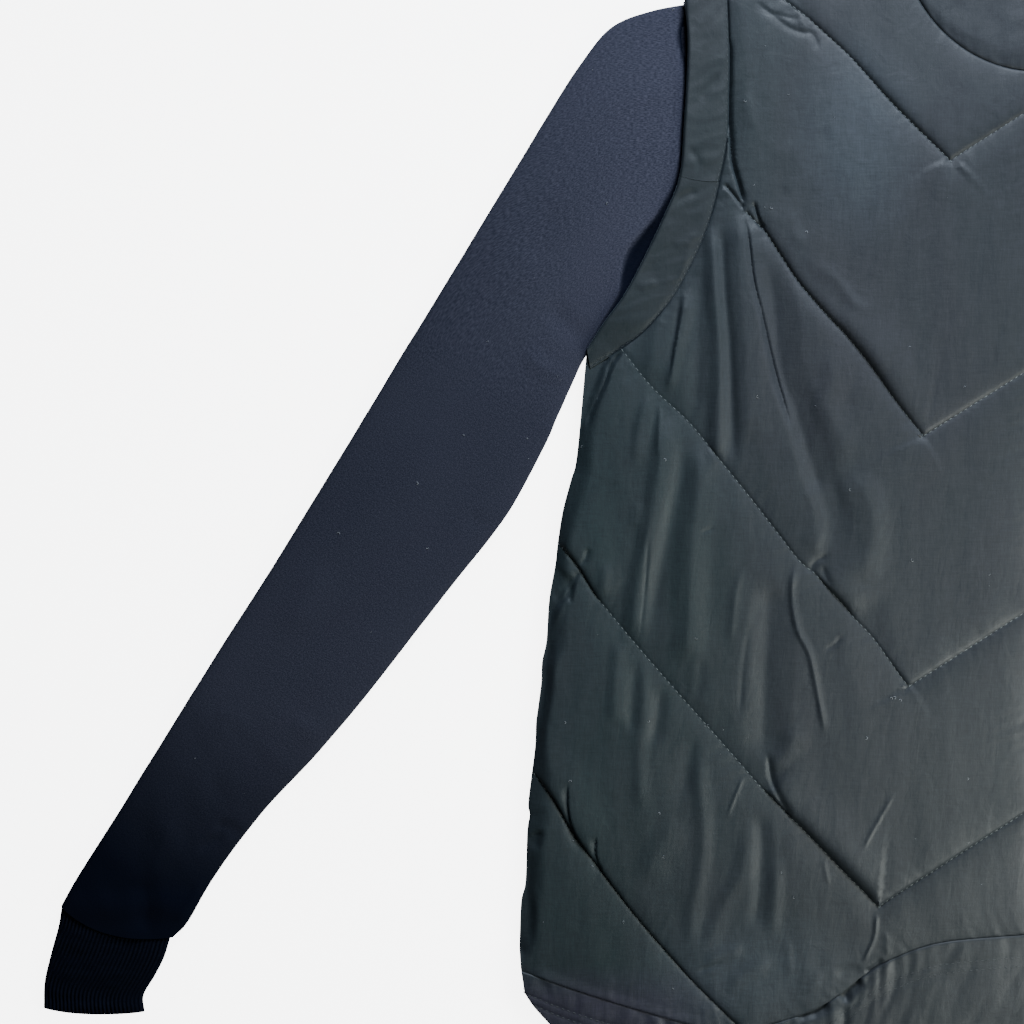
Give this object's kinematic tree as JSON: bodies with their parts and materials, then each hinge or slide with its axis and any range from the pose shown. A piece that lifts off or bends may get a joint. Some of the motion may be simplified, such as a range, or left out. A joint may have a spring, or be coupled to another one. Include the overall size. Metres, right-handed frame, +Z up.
{
  "type": "padded jacket laid flat",
  "caption": "Padded nylon jacket with diagonal quilting, flat armhole bands, slim knit sleeves and a stand collar, zipped up and laid flat on its back.",
  "frame": {"origin": "on the surface the jacket lies on, at the middle of the box round the laid-out jacket", "axes": "+Z up from the surface, +Y towards the neck along the centre front, +X towards the wearer's left sleeve"},
  "size_m": [1.1384, 0.7079, 0.0156],
  "materials": {
    "padded_nylon": "shiny woven nylon shell over light wadding",
    "band_nylon": "the same nylon, folded flat and topstitched",
    "sleeve_knit": "dense matt stretch knit",
    "cuff_knit": "finer, darker matt knit",
    "zip_tape": "woven tape",
    "zip_plastic": "dark moulded plastic"
  },
  "bodies": {
    "jacket": {"front_right": "padded_nylon", "front_left": "padded_nylon", "back": "padded_nylon", "band_front_upper_right": "band_nylon", "band_front_upper_left": "band_nylon", "band_front_lower_right": "band_nylon", "band_front_lower_left": "band_nylon", "band_back_right": "band_nylon", "band_back_left": "band_nylon", "hem_front_right": "band_nylon", "hem_front_left": "band_nylon", "hem_back": "band_nylon", "collar": "padded_nylon", "sleeve_right": "sleeve_knit", "sleeve_left": "sleeve_knit", "cuff_right": "cuff_knit", "cuff_left": "cuff_knit", "zip_tape_right": "zip_tape", "zip_tape_left": "zip_tape", "zip_chain": "zip_plastic", "zip_box": "zip_plastic", "zip_slider": "zip_plastic"},
    "pull": {"zip_pull": "zip_plastic"}
  },
  "joints": [
    {"name": "pull_hinge", "type": "hinge", "parent": "jacket", "child": "pull", "pos_m": [0, 0.2702, 0.0132], "axis": [-1, 0, 0], "range_deg": [0, 150]}
  ]
}
